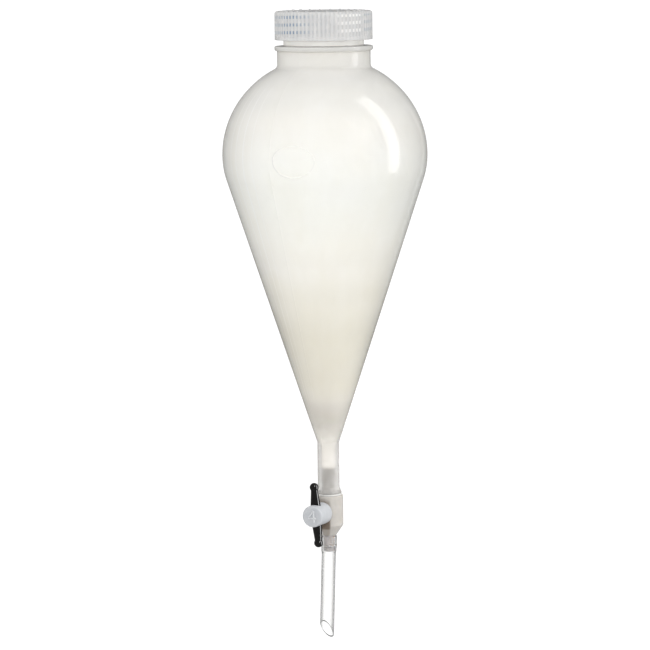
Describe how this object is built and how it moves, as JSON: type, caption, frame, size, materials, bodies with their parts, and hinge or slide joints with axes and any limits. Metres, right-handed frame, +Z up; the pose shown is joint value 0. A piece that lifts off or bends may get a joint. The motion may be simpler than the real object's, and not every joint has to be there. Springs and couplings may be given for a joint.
{
  "type": "separatory funnel",
  "caption": "Translucent plastic separatory funnel: pear-shaped vessel with a ribbed screw closure, white plug stopcock with a black cross handle, and a clear bevelled delivery tube.",
  "frame": {"origin": "on the funnel's axis, in the plane where a support ring of 100 mm inside diameter touches the cone", "axes": "+Z up along the funnel's axis; the stopcock's plug lies along Y with its head and handle towards -Y; +X to the right of an observer facing the plug's head"},
  "size_m": [0.148, 0.148, 0.4569],
  "materials": {
    "vessel_plastic": "milky translucent polypropylene, satin",
    "closure_plastic": "translucent polypropylene, ribbed, satin",
    "barrel_plastic": "moulded, greyish white, satin",
    "white_fluoropolymer": "turned, waxy white",
    "handle_plastic": "moulded, gloss black",
    "seal_rubber": "plain",
    "tube_plastic": "clear, polished"
  },
  "bodies": {
    "vessel": {"funnel_body": "vessel_plastic", "stopcock_barrel": "barrel_plastic", "spout_gasket": "white_fluoropolymer", "outlet_o_ring": "white_fluoropolymer", "delivery_tube": "tube_plastic"},
    "liner": {"closure_seal": "white_fluoropolymer"},
    "closure": {"screw_closure": "closure_plastic"},
    "plug": {"stopcock_plug": "white_fluoropolymer", "handle_bar": "handle_plastic"},
    "tail_stack": {"plug_washer": "white_fluoropolymer", "plug_o_ring": "seal_rubber"},
    "nut": {"tension_nut": "white_fluoropolymer"}
  },
  "joints": [
    {"name": "closure_rise", "type": "slide", "parent": "vessel", "child": "liner", "axis": [0, 0, 1], "range_m": [0, 0.02176]},
    {"name": "closure_turn", "type": "hinge", "parent": "liner", "child": "closure", "pos_m": [0, 0, 0.175], "axis": [0, 0, 1], "range_deg": [0, 1440]},
    {"name": "plug_turn", "type": "hinge", "parent": "vessel", "child": "plug", "pos_m": [0, -0.01, -0.1782], "axis": [0, -1, 0], "continuous": true},
    {"name": "washer_slide", "type": "slide", "parent": "plug", "child": "tail_stack", "axis": [0, 1, 0], "range_m": [0, 0.00125]},
    {"name": "nut_turn", "type": "hinge", "parent": "tail_stack", "child": "nut", "pos_m": [0, 0.0129, -0.1782], "axis": [0, 1, 0], "range_deg": [0, 360]}
  ],
  "couplings": [
    {"joint": "closure_rise", "follows": "closure_turn", "m_per_rad": 0.0008658},
    {"joint": "nut_turn", "follows": "washer_slide", "rad_per_m": 5026.5}
  ]
}
